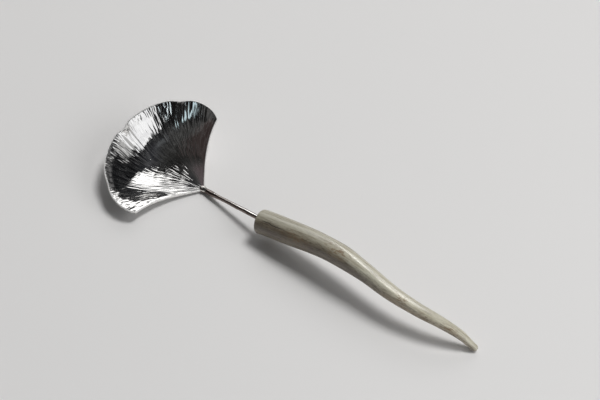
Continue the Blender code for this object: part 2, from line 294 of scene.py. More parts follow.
def grid_faces(rows, columns, closed=False):
    """Quads between neighbouring rows and columns of vertices numbered row by row."""
    ids = np.arange(rows * columns).reshape(rows, columns)
    if closed:
        ids = np.concatenate((ids, ids[:, :1]), axis=1)
    return np.stack((ids[:-1, :-1], ids[:-1, 1:], ids[1:, 1:], ids[1:, :-1]), axis=-1).reshape(-1, 4)


def fan_faces(ring, pole):
    """Triangles from a closed ring of vertex numbers to one pole."""
    return np.stack((ring, np.roll(ring, -1), np.full(len(ring), pole)), axis=-1)


def add_piece(name, points, face_groups, finish, node, attributes):
    """Closed mesh of all the faces, smooth, with its outward side found and its attributes stored."""
    mesh = bpy.data.meshes.new(name)
    faces = [face for group in face_groups for face in group.tolist()]
    mesh.from_pydata(points.tolist(), [], faces)
    for key, values in attributes.items():
        store = mesh.attributes.new(key, "FLOAT_VECTOR", "POINT")
        store.data.foreach_set("vector", np.asarray(values, dtype=np.float32).ravel())
    form = bmesh.new()
    form.from_mesh(mesh)
    bmesh.ops.recalc_face_normals(form, faces=form.faces)
    form.to_mesh(mesh)
    form.free()
    mesh.shade_smooth()
    mesh.materials.append(finish)
    piece = bpy.data.objects.new(name, mesh)
    bpy.context.scene.collection.objects.link(piece)
    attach(piece, "root")
    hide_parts(node)
    return piece


def add_tube(name, points, poles, finish, node, attributes):
    """Piece made of closed rings of points, with a pole at each end that shares its ring's attributes."""
    rings, sides = points.shape[:2]
    count = rings * sides
    first_ring = np.arange(sides)
    faces = [
        grid_faces(rings, sides, closed=True),
        fan_faces(first_ring, count),
        fan_faces(first_ring + count - sides, count + 1),
    ]
    stores = {}
    for key, values in attributes.items():
        flat = values.reshape(-1, 3)
        stores[key] = np.concatenate((flat, flat[:1], flat[-1:]))
    flat_points = np.concatenate((points.reshape(-1, 3), poles))
    return add_piece(name, flat_points, faces, finish, node, stores)


def unit(vectors):
    return vectors / np.linalg.norm(vectors, axis=-1, keepdims=True)


def ramp(values, low, high):
    """Smooth step from 0 at low to 1 at high."""
    share = np.clip((values - low) / (high - low), 0.0, 1.0)
    return share**2 * (3 - 2 * share)


def window(values, rise, fall):
    """1 between two smooth steps: up over the limits of rise, down over the limits of fall."""
    return ramp(values, *rise) * (1 - ramp(values, *fall))


def turned_off(turn, place):
    """Angle from a place on a ring, between half a turn back and half a turn on."""
    return (turn - place + pi) % (2 * pi) - pi


def smooth_path(keys, shares):
    """Catmull-Rom curve through the rows of keys, read at shares of its chord length."""
    keys = np.asarray(keys, dtype=float)
    chords = np.linalg.norm(np.diff(keys[:, :3], axis=0), axis=1)
    knots = np.concatenate(([0.0], np.cumsum(chords)))
    slopes = np.gradient(keys, knots, axis=0)
    places = np.asarray(shares) * knots[-1]
    spans = np.clip(np.searchsorted(knots, places, side="right") - 1, 0, len(chords) - 1)
    length = chords[spans]
    part = ((places - knots[spans]) / length)[:, None]
    length = length[:, None]
    start, end = keys[spans], keys[spans + 1]
    leave, arrive = slopes[spans] * length, slopes[spans + 1] * length
    return (
        start * (2 * part**3 - 3 * part**2 + 1)
        + leave * (part**3 - 2 * part**2 + part)
        + end * (3 * part**2 - 2 * part**3)
        + arrive * (part**3 - part**2)
    )


def ring_axes(centres, side_hint):
    """Side and up axes square to a path, kept level with the side hint, and the axis ahead."""
    ahead = unit(np.gradient(centres, axis=0))
    up = unit(np.cross(ahead, side_hint))
    return np.cross(up, ahead), up, ahead


def ring_points(centres, side, up, reach_side, reach_up):
    """Rings round the centres of a path, from the reach of each point along the side and up axes."""
    return centres[:, None] + side[:, None] * reach_side[..., None] + up[:, None] * reach_up[..., None]


def wander(first, second, seed, wrap=None):
    """Smooth random field from -1 to 1: random values on a unit lattice, eased between its corners.

    With wrap the lattice repeats after that many cells of the second coordinate, so that it closes round
    a ring.
    """
    first, second = np.broadcast_arrays(first, second)
    values = np.random.default_rng(seed).uniform(-1.0, 1.0, (LATTICE, wrap or LATTICE))
    cell_first, cell_second = np.floor(first).astype(int), np.floor(second).astype(int)
    ease_first, ease_second = first - cell_first, second - cell_second
    ease_first = ease_first**2 * (3 - 2 * ease_first)
    ease_second = ease_second**2 * (3 - 2 * ease_second)
    rows = (cell_first % LATTICE, (cell_first + 1) % LATTICE)
    columns = (cell_second % values.shape[1], (cell_second + 1) % values.shape[1])
    low = values[rows[0], columns[0]] * (1 - ease_second) + values[rows[0], columns[1]] * ease_second
    high = values[rows[1], columns[0]] * (1 - ease_second) + values[rows[1], columns[1]] * ease_second
    return low * (1 - ease_first) + high * ease_first


def wander_round(along, turn, waves):
    """Smooth random field from -1 to 1 along and round a ring-shaped piece."""
    return wander(along / waves.length, turn * waves.count / (2 * pi), waves.seed, wrap=waves.count)


# Bowl

def rim_arc(across):
    """Distance from the petiole to the rim's arc, which draws in towards the corners."""
    edge = np.abs(across)
    bend = RIM_ARC_SHARE * edge**RIM_ARC_POWER + (1 - RIM_ARC_SHARE) * edge**RIM_SHOULDER_POWER
    shortening = (LEAF_LENGTH - LEAF_SIDE_LENGTH) * bend + CORNER_ROUND * edge**CORNER_POWER
    return LEAF_LENGTH - shortening - LEAF_SKEW * across


def rim_hollow(offset, depth, half_width):
    """Bell-shaped hollow in the rim, half as deep at the half width."""
    arc = LEAF_LENGTH * LEAF_HALF_ANGLE * offset
    return depth * 2.0 ** (-((arc / half_width) ** 2))


def rim_hollows(across):
    """Notch in the middle of the rim and a shallow dip on each side."""
    notch = rim_hollow(across, NOTCH_DEPTH, NOTCH_HALF_WIDTH)
    return notch + rim_hollow(np.abs(across) - DIP_PLACE, DIP_DEPTH, DIP_HALF_WIDTH)


def leaf_radius(out, across):
    """Distance from the petiole, to the wavy rim at out 1."""
    to_arc = (rim_arc(across) - PETIOLE_RADIUS) * out
    return PETIOLE_RADIUS + to_arc - rim_hollows(across) * out**HOLLOW_FADE_POWER


def side_lip(out, across):
    """Share of the lip's height along the near side edge: a smooth climb to its start, then a fall."""
    climb = ramp(-across, LIP_START - LIP_RUN_UP, LIP_START + LIP_OVERLAP)
    fall = 2 * ramp(-across, LIP_START, 2 - LIP_START)
    return (climb - fall) * ramp(out, *LIP_OUT)


def far_bend(out, across):
    """Share of the bend's depth in the far wall: a smooth sinking to its place, then a straight climb."""
    beyond = out - BEND_PLACE
    past_bend = (np.sqrt(beyond**2 + BEND_ROUND**2) + beyond) / 2 / (1 - BEND_PLACE)
    reach = window(across, BEND_NEAR_END, BEND_FAR_END) * ramp(out, *BEND_OUT)
    return (ramp(out, BEND_START, BEND_PLACE) - past_bend) * reach


def leaf_points(out, across):
    """Inner face of the leaf: a fan that climbs from the petiole to the rim, with the dish sunk below it.

    out runs from 0 at the petiole to 1 at the rim, and across from -1 at the near side edge, which is the
    one towards -Y, to 1 at the far side edge.
    """
    out = np.maximum(out, 0.0)
    angle = across * (LEAF_HALF_ANGLE - SIDE_EDGE_SWEEP * (1 - out**2))
    radius = leaf_radius(out, across)
    sideways = radius * np.sin(angle)
    rise = RIM_RISE + (CORNER_RISE - RIM_RISE) * np.abs(across) ** CLIMB_SIDE_POWER
    reach = np.minimum(out, 1.0) ** DISH_PLACE_POWER
    wall = WALL_POWER - WALL_STEEPENING * ramp(across, *FAR_WALL_ACROSS)
    flare = np.where(reach < 0.5, DISH_FLARE_POWER, wall)
    place = np.clip(np.sin(pi * reach), LEAST_SINE, 1.0) ** flare
    hollow = place * np.clip(1 - across**2, 0.0, 1.0) ** DISH_SIDE_POWER
    height = rise * out**CLIMB_POWER - BOWL_DEPTH * hollow + tan(RIM_LEAN) * sideways * out**2
    height = height + LIP_HEIGHT * side_lip(out, across) - BEND_DEPTH * far_bend(out, across)
    far_dip = rim_hollow(across - DIP_PLACE, DIP_DEPTH, DIP_HALF_WIDTH) * out**HOLLOW_FADE_POWER
    height = height - FAR_DIP_SINK * far_dip
    return np.stack((-radius * np.cos(angle), sideways, height), axis=-1)


def leaf_normals(out, across):
    """Upward normals of the leaf from its slopes in both parameters."""
    along = leaf_points(out + SLOPE_STEP, across) - leaf_points(out - SLOPE_STEP, across)
    aside = leaf_points(out, across + SLOPE_STEP) - leaf_points(out, across - SLOPE_STEP)
    return unit(np.cross(aside, along))


def on_table(points):
    """Leaf's frame to the spoon's: rolled about X, with the petiole in its place."""
    level, tilt = cos(LEAF_ROLL), sin(LEAF_ROLL)
    turn = np.array(((1, 0, 0), (0, level, -tilt), (0, tilt, level)))
    return points @ turn.T + PETIOLE_PLACE


def hammer_marks(radius, angle, marks):
    """Heights of hammer marks: 0 at the bottom of a mark, about 1 on the ridges where marks meet.

    Marks lie in rows along the radius, and each row is shared out between marks of about the same width. A
    mark is an elliptic hollow round its shifted middle, and the surface is the soft minimum of the hollows
    near a point: the logarithm of the sum of their exponentials, which rounds the ridges.
    """
    draws = np.random.default_rng(marks.seed).random((4, DRAW_ROWS, DRAW_CELLS))
    fan_angle = 2 * LEAF_HALF_ANGLE
    row = np.floor(radius / marks.length).astype(int)
    total = np.zeros(np.shape(radius))
    for row_step in NEIGHBOURS:
        near_row = row + row_step
        middle = (near_row + 0.5) * marks.length
        count = np.maximum(np.round(fan_angle * np.abs(middle) / marks.width), LEAST_MARKS)
        place = (angle / fan_angle + 0.5) * count
        cell = np.floor(place).astype(int)
        for cell_step in NEIGHBOURS:
            near_cell = cell + cell_step
            shift, slide, lift, swell = draws[:, near_row % DRAW_ROWS, near_cell % DRAW_CELLS]
            along = (radius - middle) / marks.length - MARK_SHIFT * (shift - 0.5)
            aside = place - near_cell - 0.5 - MARK_SLIDE * (slide - 0.5)
            half_length = MARK_LEAST_HALF + MARK_SWELL * swell
            hollow = (along / half_length) ** 2 + (2 * aside) ** 2 + MARK_LIFT * lift
            total += np.exp(-hollow / RIDGE_ROUND)
    return -RIDGE_ROUND * np.log(total)


def inner_marks(out, across, radius, angle):
    """Relief of the inner face, the heights of its strokes alone, and how far its ridges are rubbed.

    Strokes and dents cover the face and leave the far side edge plain, fan lines run out from the petiole,
    small dents cover the lip, and a peened band follows the rim. Handling rubs the ridges, least of all on
    the near wall.
    """
    plain_edge = 1 - PLAINNESS * ramp(across, *PLAIN_EDGE_ACROSS) * ramp(out, *PLAIN_EDGE_OUT)
    near_lip = ramp(-across, *LIP_DENTS_ACROSS) * ramp(out, *LIP_DENTS_OUT)
    near_petiole = (1 - ramp(out, *FAN_OUT)) * (1 - FAN_FADE * ramp(across, *FAN_ACROSS))
    peened = ramp(out, *PEENED_OUT) * (1 - ramp(across, *PEENED_ACROSS))
    by_rim = sum(change * ramp(across, *limits) for change, limits in RIM_FORCES) + NEAR_RIM_FORCE
    force = INNER_FORCE + WALL_FORCE * ramp(out, *WALL_OUT) + by_rim * ramp(out, *RIM_OUT)
    blows = wander(radius / BLOW_PATCH_LENGTH, angle * radius / BLOW_PATCH_WIDTH, BLOW_SEED)
    force = force * (LEAST_BLOW + BLOW_SPREAD * ramp(blows, *BLOW_LIMITS))

    strokes = hammer_marks(radius, angle, STROKES)
    dents = hammer_marks(radius, angle, DENTS) * (LEAST_DENTS + (1 - LEAST_DENTS) * ramp(out, *DENTS_OUT))
    fan_lines = hammer_marks(radius, angle, FAN_LINES)
    lip_dents = hammer_marks(radius, angle, LIP_DENTS)
    peening = hammer_marks(radius, angle, PEENING)
    open_face = STROKES.depth * force * (strokes - MARK_MIDDLE) + DENTS.depth * (dents - MARK_MIDDLE)
    relief = open_face * plain_edge * (1 - LIP_SMOOTHNESS * near_lip)
    relief = relief + FAN_LINES.depth * (fan_lines - MARK_MIDDLE) * near_petiole * plain_edge
    relief = relief + LIP_DENTS.depth * (lip_dents - MARK_MIDDLE) * near_lip
    relief = relief + PEENING.depth * (peening - MARK_MIDDLE) * peened

    near_wall = ramp(-across, *NEAR_WALL_ACROSS) * ramp(out, *NEAR_WALL_OUT)
    rubbed = (RUBBING - NEAR_RUBBING_LOSS * near_wall) * force * ramp(strokes, *STROKE_RIDGES)
    rubbed = rubbed + PEEN_RUBBING * peened * ramp(peening, *PEEN_RIDGES)
    return relief, strokes, rubbed


def sheet_edge(top, bottom):
    """Rows of points between the outlines of the two faces: a band filed level, then a rounded edge."""
    middle, half = (top + bottom) / 2, (top - bottom) / 2
    run = np.roll(middle, -1, axis=0) - np.roll(middle, 1, axis=0)
    outward = unit(np.cross(run, half))
    outward *= np.sign(np.sum(outward * (middle - middle.mean(axis=0))))
    level = unit(outward * np.array((1.0, 1.0, 0.0)))
    filed = top + level * FILED_SHARES[:, None, None] * RIM_BAND
    turns = EDGE_TURNS[:, None, None]
    rounded = middle + half * np.cos(turns) + outward * EDGE_SWELL * np.sin(turns)
    reach = np.sum((rounded - top) * level, axis=-1, keepdims=True)
    rounded = rounded + level * np.maximum(EDGE_OVERHANG * RIM_BAND - reach, 0.0)
    rounded[..., 2] = np.minimum(rounded[..., 2], top[:, 2])
    return np.concatenate((filed, rounded))


def make_bowl(finish):
    """Shell of sheet silver: inner and outer faces on one grid, joined by a filed and rounded edge.

    The inner face carries long strokes along the radius, the outer face broad planishing marks. What would
    reach below the table is dressed flat there.
    """
    out_line = (1 - np.linspace(1.0, 0.0, BOWL_ROWS) ** ROW_CROWDING) * (1 - EDGE_SWELL / LEAF_LENGTH)
    across_line = np.linspace(-1.0, 1.0, BOWL_COLUMNS) * (1 - EDGE_SWELL / LEAF_SIDE_LENGTH)
    out, across = np.meshgrid(out_line, across_line, indexing="ij")
    smooth = leaf_points(out, across)
    normals = leaf_normals(out, across)
    radius = leaf_radius(out, across)
    angle = across * LEAF_HALF_ANGLE
    relief, strokes, rubbed = inner_marks(out, across, radius, angle)
    planishing = hammer_marks(radius, angle, PLANISHING)
    inner = on_table(smooth + normals * relief[..., None])
    outer = on_table(smooth - normals * (SHEET + PLANISHING.depth * (planishing - 1.0))[..., None])
    outer[..., 2] = np.maximum(outer[..., 2], 0.0)
    inner, outer = inner.reshape(-1, 3), outer.reshape(-1, 3)

    count = BOWL_ROWS * BOWL_COLUMNS
    ids = np.arange(count).reshape(BOWL_ROWS, BOWL_COLUMNS)
    loop = np.concatenate((ids[0], ids[1:, -1], ids[-1, -2::-1], ids[-2:0:-1, 0]))
    edge = sheet_edge(inner[loop], outer[loop])
    points = np.concatenate((inner, outer, edge.reshape(-1, 3)))
    rings = np.concatenate((loop, 2 * count + np.arange(len(edge) * len(loop)), count + loop))
    edge_faces = rings[grid_faces(len(edge) + 2, len(loop), closed=True)]
    face = grid_faces(BOWL_ROWS, BOWL_COLUMNS)
    faces = [face, face[:, ::-1] + count, edge_faces]

    fan = np.stack((radius, angle * LEAF_LENGTH, strokes), axis=-1).reshape(-1, 3)
    fan = np.concatenate((fan, fan, np.tile(fan[loop], (len(edge), 1))))
    # Mauve painted reflection by the petiole, towards the far side edge
    painted_mauve = ramp(across, *PAINTED_MAUVE_ACROSS) * (1 - ramp(out, *PAINTED_MAUVE_OUT))
    wear_and_painted_light = np.zeros((len(points), 3))
    wear_and_painted_light[:count, 0] = rubbed.ravel()
    wear_and_painted_light[:count, 1] = painted_mauve.ravel()
    wear_and_painted_light[count:2 * count, 2] = 1.0
    wear_and_painted_light[2 * count:, 0] = 1.0
    stores = {"fan": fan, "wear_and_painted_light": wear_and_painted_light}
    return add_piece("hammered_bowl", points, faces, finish, "bowl", stores)


# Stem and solder

def spoon_shift():
    """The tine's stations are measured from the petiole along X and Y, and from the table."""
    return np.array((PETIOLE_PLACE[0], PETIOLE_PLACE[1], 0.0))


def bore_mouth():
    """Middle of the bore's mouth, a little off the middle of the sawn end."""
    _, sway, arch, _ = TINE_STATION_SHARES[0]
    butt = np.array((STEM_REACH, sway * TINE_SWAY, arch * TINE_ARCH + BUTT_DIAMETER / 2)) + spoon_shift()
    return butt + np.array((0.0, BORE_SIDE_SHIFT, BORE_RAISE))


def neck_point():
    """Middle of the stem where it leaves the petiole."""
    return on_table(np.array((NECK_SETBACK, 0.0, -SHEET / 2)))


def tang_direction():
    return unit(bore_mouth() - neck_point())


def tongue_point(distance):
    """Middle of the tongue under the leaf's midrib, at a distance from the petiole."""
    out = np.array(max((distance - PETIOLE_RADIUS) / (rim_arc(0.0) - PETIOLE_RADIUS), 0.0))
    midrib = np.array(0.0)
    below = SHEET + JOINT_GAP + TONGUE_THICKNESS / 2
    return on_table(leaf_points(out, midrib) - leaf_normals(out, midrib) * below)


def stem_sections():
    """Rows of x, y, z, width and thickness, from the end of the tongue to the end of the tang."""
    neck, mouth, along = neck_point(), bore_mouth(), tang_direction()
    waist = neck + along * NECK_LENGTH
    return [
        (*tongue_point(TONGUE_LENGTH), TONGUE_END_WIDTH, TONGUE_END_THICKNESS),
        (*tongue_point(TONGUE_LENGTH - TONGUE_TAPER), TONGUE_WIDTH, TONGUE_THICKNESS),
        (*tongue_point(PETIOLE_RADIUS), TONGUE_WIDTH, TONGUE_THICKNESS),
        (*neck, NECK_DIAMETER, NECK_DIAMETER),
        (*((neck + waist) / 2), NECK_DIAMETER, NECK_DIAMETER),
        (*waist, STEM_DIAMETER, STEM_DIAMETER),
        (*((waist + mouth) / 2), STEM_DIAMETER, STEM_DIAMETER),
        (*mouth, STEM_DIAMETER, STEM_DIAMETER),
        (*(mouth + along * TANG_LENGTH), STEM_DIAMETER, STEM_DIAMETER),
    ]


def make_stem(finish):
    """Loft of ellipses along the stem, flat under the bowl and round beyond it, with facets and nicks.

    Facets swell each ring by a random field that closes round it, and each nick is a bell-shaped lump.
    """
    rows = smooth_path(stem_sections(), np.linspace(0.0, 1.0, STEM_RINGS))
    centres = rows[:, :3]
    side, up, _ = ring_axes(centres, np.array((0.0, cos(LEAF_ROLL), sin(LEAF_ROLL))))
    turn = np.linspace(0.0, 2 * pi, STEM_SIDES, endpoint=False)[None]
    steps = np.linalg.norm(np.diff(centres, axis=0), axis=1)
    along = np.concatenate(([0.0], np.cumsum(steps)))[:, None]
    from_back = turned_off(turn, STEM_BACK_TURN) / NICK_SPREAD
    nicks = sum(np.exp(-(((along - place) / NICK_LENGTH) ** 2) - from_back**2) for place in NICKS)
    facets = FACETS.height * wander_round(along, turn, FACETS)
    swell = 1 + facets + nicks * 2 * NICK_HEIGHT / STEM_DIAMETER
    reach_side = (rows[:, 3:4] / 2) * np.cos(turn) * swell
    reach_up = (rows[:, 4:5] / 2) * np.sin(turn) * swell
    points = ring_points(centres, side, up, reach_side, reach_up)
    # Painted highlight along the back of the stem, stronger towards the handle, and painted glints on the
    # nicks
    back = ramp(np.cos(turn - STEM_BACK_TURN), *PAINTED_HIGHLIGHT_COSINES)
    back = back * (LEAST_PAINTED_HIGHLIGHT + (1 - LEAST_PAINTED_HIGHLIGHT) * ramp(along, *PAINTED_HIGHLIGHT_RUN))
    back = np.maximum(back, np.minimum(NICK_PAINTED_GLINT * nicks, 1.0))
    stores = {
        "lay": np.stack((along + 0 * turn, reach_side, reach_up), axis=-1),
        "wear_and_painted_light": np.stack((back, 0 * back, 0 * back), axis=-1),
    }
    poles = centres[[0, -1]]
    return add_tube("forged_stem", points, poles, finish, "stem", stores)


def make_bead(finish):
    """Flattened bead of solder round the petiole: an ellipsoid with a slightly uneven skin."""
    turn = np.linspace(0.0, 2 * pi, BEAD_SIDES, endpoint=False)[None]
    rise = np.linspace(-pi / 2, pi / 2, BEAD_RINGS)[1:-1, None]
    cells_up = rise * BEAD_WAVE_RATE + BEAD_WAVE_START
    cells_round = turn * BEAD_WAVES / (2 * pi)
    skin = 1 + BEAD_UNEVENNESS * wander(cells_up, cells_round, BEAD_SEED, wrap=BEAD_WAVES)
    level = np.cos(rise)
    ball = np.stack((level * np.cos(turn), level * np.sin(turn), np.sin(rise) + 0 * turn), axis=-1)
    points = on_table(ball * skin[..., None] * BEAD_SIZE / 2)
    poles = on_table(np.array(((0.0, 0.0, -1.0), (0.0, 0.0, 1.0))) * BEAD_SIZE / 2)
    return add_tube("solder_bead", points, poles, finish, "solder_fillet", {})


# Handle

def round_share(distances, size):
    """Share of the full radius at each distance from a rounded end of that size."""
    share = np.clip(distances / size, 0.0, 1.0)
    return np.sqrt(1 - (1 - share) ** 2)


def tine_rows():
    """Rows of x, y, z and radius along the tine, their distances from the sawn end, and the tine's length.

    After them come the end forms: what the rounded edge takes off the radius, and the tip's share of it.
    """
    keys = []
    for share, sway, arch, girth in TINE_STATION_SHARES:
        radius = (TIP_DIAMETER + (BUTT_DIAMETER - TIP_DIAMETER) * girth) / 2
        place = STEM_REACH + share * HANDLE_LENGTH
        keys.append((place, sway * TINE_SWAY, arch * TINE_ARCH + radius, radius))
    keys = np.array(keys)
    tip_radius = TIP_DIAMETER / 2
    last_run = keys[-1] - keys[-2]
    last_run[3] = 0.0
    keys = np.vstack((keys, keys[-1] + last_run * tip_radius / np.linalg.norm(last_run)))
    keys[:, :3] += spoon_shift()
    length = np.linalg.norm(np.diff(keys[:, :3], axis=0), axis=1).sum()
    butt_ends = BUTT_EDGE_ROUND * (1 - np.cos(np.linspace(0.0, pi / 2, BUTT_RINGS)))
    tip_ends = tip_radius * (1 - np.cos(np.linspace(pi / 2, TIP_LAST_TURN, TIP_RINGS)))
    body = np.linspace(butt_ends[-1], length - tip_ends[0], TINE_RINGS + 2)[1:-1]
    places = np.concatenate((butt_ends, body, length - tip_ends))
    rows = smooth_path(keys, places / length)
    edge_loss = BUTT_EDGE_ROUND * (1 - round_share(places, BUTT_EDGE_ROUND))
    tip_share = round_share(length - places, tip_radius)
    return rows, places, length, edge_loss, tip_share


def antler_relief(along, turn, length, radius):
    """Height of the skin over the round tine, with masks of the lower side, where painted shade goes, the
    flecks and the crack.

    Slow swellings, less the gutters that run along the tine, plus a keel that winds along its back, less a
    crack: the keel falls off as the exponential of the angle from its crest, the crack as a bell round its
    wandering line.
    """
    share = along / length
    swelling = sum(waves.height * wander_round(along, turn, waves) for waves in SWELLINGS)
    gutters = GUTTERS.height * (1 - np.abs(wander_round(along, turn, GUTTERS))) ** 2
    gutters = gutters + FINE_GUTTERS.height * wander_round(along, turn, FINE_GUTTERS)
    # Lower side: deeper gutters, and brown that is partly the antler's own and partly painted shade
    from_back = np.abs(turned_off(turn, BACK_TURN))
    from_back = from_back + BACK_EDGE.height * wander_round(along, turn, BACK_EDGE)
    from_back = from_back - BACK_WIDENING * window(share, WIDE_BACK_START, WIDE_BACK_END)
    lower = ramp(from_back, *LOWER_SIDE) * (1 - TIP_LOSS * ramp(share, *TIP_RUN))

    crest = np.radians(np.interp(share, KEEL_SHARES, KEEL_TURNS))
    from_crest = np.sqrt(turned_off(turn, crest) ** 2 + KEEL_ROUND**2)
    keel = KEEL_HEIGHT * np.exp(-from_crest / KEEL_WIDTH) * window(share, KEEL_START, KEEL_END)

    line = radians(CRACK_TURN) + CRACK_SWING * wander(along / CRACK_BEND_LENGTH, 0.0, CRACK_SEED)
    from_line = turned_off(turn, line) * radius / CRACK_HALF_WIDTH
    crack = np.exp(-(from_line**2)) * window(along, CRACK_OPENING, CRACK_CLOSING)

    flecks = 0
    for place, fleck_turn, reach in FLECKS:
        aside = turned_off(turn, radians(fleck_turn)) / FLECK_SPREAD
        flecks = flecks + np.exp(-(((share - place) / reach) ** 2) - aside**2)
    relief = swelling - gutters * (LEAST_GUTTERS + (1 - LEAST_GUTTERS) * lower) + keel - CRACK_DEPTH * crack
    return relief, np.stack(np.broadcast_arrays(lower, flecks, crack), axis=-1)


def make_handle(finish):
    """Antler tine: rings along its curve, closed at the tip, with a sawn end and the bore of the tang.

    Each ring is a circle with the relief of the antler added to its radius.
    """
    rows, places, length, edge_loss, tip_share = tine_rows()
    centres, girth = rows[:, :3], rows[:, 3:4]
    side, up, ahead = ring_axes(centres, np.array((0.0, 1.0, 0.0)))
    turn = np.linspace(0.0, 2 * pi, TINE_SIDES, endpoint=False)[None]
    along = places[:, None]
    relief, tint_and_shade = antler_relief(along, turn, length, girth)
    relief = relief * ramp(along, 0.0, BUTT_FADE) * ramp(length - along, 0.0, TIP_FADE)
    radius = (girth + relief - edge_loss[:, None]) * tip_share[:, None]
    reach_side, reach_up = radius * np.cos(turn), radius * np.sin(turn)
    skin = ring_points(centres, side, up, reach_side, reach_up)

    bore_turn = np.arctan2(reach_up[0], reach_side[0])[:, None]
    mouth = bore_mouth() + BORE_RADIUS * (side[0] * np.cos(bore_turn) + up[0] * np.sin(bore_turn))
    inward = tang_direction()
    bore = mouth + inward * np.array(BORE_RING_DEPTHS)[:, None, None]
    outward_shares = np.linspace(0.0, 1.0, FACE_RINGS, endpoint=False)[:, None, None]
    face = mouth + (skin[0] - mouth) * outward_shares
    points = np.concatenate((bore, face, skin))
    tip = centres[-1] + ahead[-1] * TIP_DIAMETER / 2 * (1 - cos(TIP_LAST_TURN))
    poles = np.stack((bore_mouth() + inward * BORE_DEPTH, tip))

    grain = np.stack((along + 0 * turn, reach_side, reach_up), axis=-1)
    before_skin = len(bore) + len(face)
    sawn = np.zeros(points.shape)
    sawn[:before_skin, :, 0] = 1.0
    sawn[len(bore):before_skin, :, 1] = outward_shares[..., 0]
    stores = {"sawn": sawn}
    for key, values in (("grain", grain), ("tint_and_shade", tint_and_shade)):
        stores[key] = np.concatenate((np.repeat(values[:1], before_skin, axis=0), values))
    return add_tube("antler_handle", points, poles, finish, "handle", stores)


# Finishes

BRIGHT_SILVER = (0.93, 0.92, 0.90)
BLOOMED_SILVER = (0.82, 0.81, 0.80)
STREAKED_SILVER = (0.42, 0.41, 0.42)
SATIN_SILVER = (0.60, 0.59, 0.585)
PAINTED_MAUVE_REFLECTION = (0.80, 0.62, 0.64)
PAINTED_HIGHLIGHT_SILVER = (0.90, 0.88, 0.86)
TARNISH_AND_DARK_REFLECTION = (0.24, 0.195, 0.175)
DEEP_TARNISH_AND_DARK_REFLECTION = (0.13, 0.100, 0.088)
BRIGHT_SOLDER = (0.86, 0.84, 0.80)
DULL_SOLDER = (0.66, 0.62, 0.57)
IVORY = (0.45, 0.428, 0.340)
IVORY_STREAK = (0.26, 0.228, 0.162)
PALE_IVORY = (0.76, 0.735, 0.605)
PALE_STREAK = (0.52, 0.478, 0.360)
BARK_AND_SHADE = (0.235, 0.195, 0.137)
DARK_BARK_AND_SHADE = (0.110, 0.081, 0.054)
TAN_BARK_AND_SHADE = (0.38, 0.275, 0.165)
GRAIN_LINE = (0.085, 0.062, 0.040)
SPECK = (0.070, 0.050, 0.032)
TAN = (0.42, 0.32, 0.18)
FLECK = (0.20, 0.115, 0.055)
CRACK_SHADE = (0.025, 0.018, 0.012)
SAWN_ANTLER = (0.50, 0.45, 0.34)
PITH = (0.36, 0.285, 0.19)
PORE = (0.10, 0.07, 0.045)
RESIN = (0.40, 0.28, 0.12)
CLOUDED_RESIN = (0.56, 0.45, 0.25)
LINE_BUMP = (0.35, 0.00002)
PIT_BUMP = (0.4, 0.00006)
GRAIN_BUMP = (0.5, 0.00016)


class Shade:
    """A shader value that takes part in arithmetic: each operation adds one Math node."""

    def __init__(self, finish, socket):
        self.finish = finish
        self.socket = socket

    def work(self, operation, first, second):
        return self.finish.node("ShaderNodeMath", {"operation": operation}, {0: first, 1: second})

    def __add__(self, other):
        return self.work("ADD", self, other)

    def __radd__(self, other):
        return self.work("ADD", other, self)

    def __sub__(self, other):
        return self.work("SUBTRACT", self, other)

    def __rsub__(self, other):
        return self.work("SUBTRACT", other, self)

    def __mul__(self, other):
        return self.work("MULTIPLY", self, other)

    def __rmul__(self, other):
        return self.work("MULTIPLY", other, self)


class Finish:
    """One material, or the world: its shader's fixed values and the nodes that feed it."""

    def __init__(self, name, fixed, world=None):
        self.material = world or bpy.data.materials.new(name)
        self.material.use_nodes = True
        self.tree = self.material.node_tree
        self.shader = self.tree.nodes["Background" if world else "Principled BSDF"]
        for key, value in fixed.items():
            self.shader.inputs[key].default_value = value

    def join(self, target, value):
        if isinstance(value, Shade):
            self.tree.links.new(value.socket, target)
        else:
            target.default_value = value

    def node(self, kind, settings, sockets, output=0):
        """Adds a node: its settings first, then the values or links of its sockets."""
        node = self.tree.nodes.new(kind)
        for key, value in settings.items():
            setattr(node, key, value)
        for key, value in sockets.items():
            self.join(node.inputs[key], value)
        return Shade(self, node.outputs[output])

    def feed(self, key, value):
        self.join(self.shader.inputs[key], value)

    def attribute(self, name):
        return self.node("ShaderNodeAttribute", {"attribute_name": name}, {}, "Vector")

    def place(self):
        return self.node("ShaderNodeTexCoord", {}, {}, "Object")

    def parts(self, vector, axes):
        """The named axes of a vector, one value each."""
        return [self.node("ShaderNodeSeparateXYZ", {}, {0: vector}, axis) for axis in axes]

    def noise(self, vector, scale, detail=3.0, roughness=0.55):
        sockets = {"Vector": vector, "Scale": scale, "Detail": detail, "Roughness": roughness}
        return self.node("ShaderNodeTexNoise", {}, sockets)

    def lines(self, vector, scales, detail=3.0, roughness=0.55):
        """Noise drawn out into lines: the scales are its cells per metre along each axis of the vector."""
        stretched = self.node("ShaderNodeMapping", {}, {"Vector": vector, "Scale": scales})
        return self.noise(stretched, 1.0, detail, roughness)

    def step(self, value, low, high):
        """Smooth step from 0 at low to 1 at high."""
        sockets = {"Value": value, "From Min": low, "From Max": high}
        return self.node("ShaderNodeMapRange", {"interpolation_type": "SMOOTHSTEP"}, sockets)

    def blend(self, share, first, second):
        """Colour between the first at share 0 and the second at share 1."""
        colours = [(*colour, 1.0) if isinstance(colour, tuple) else colour for colour in (first, second)]
        sockets = {0: share, 6: colours[0], 7: colours[1]}
        return self.node("ShaderNodeMix", {"data_type": "RGBA"}, sockets, 2)

    def bump(self, height, strength, distance):
        sockets = {"Height": height, "Strength": strength, "Distance": distance}
        return self.node("ShaderNodeBump", {}, sockets)


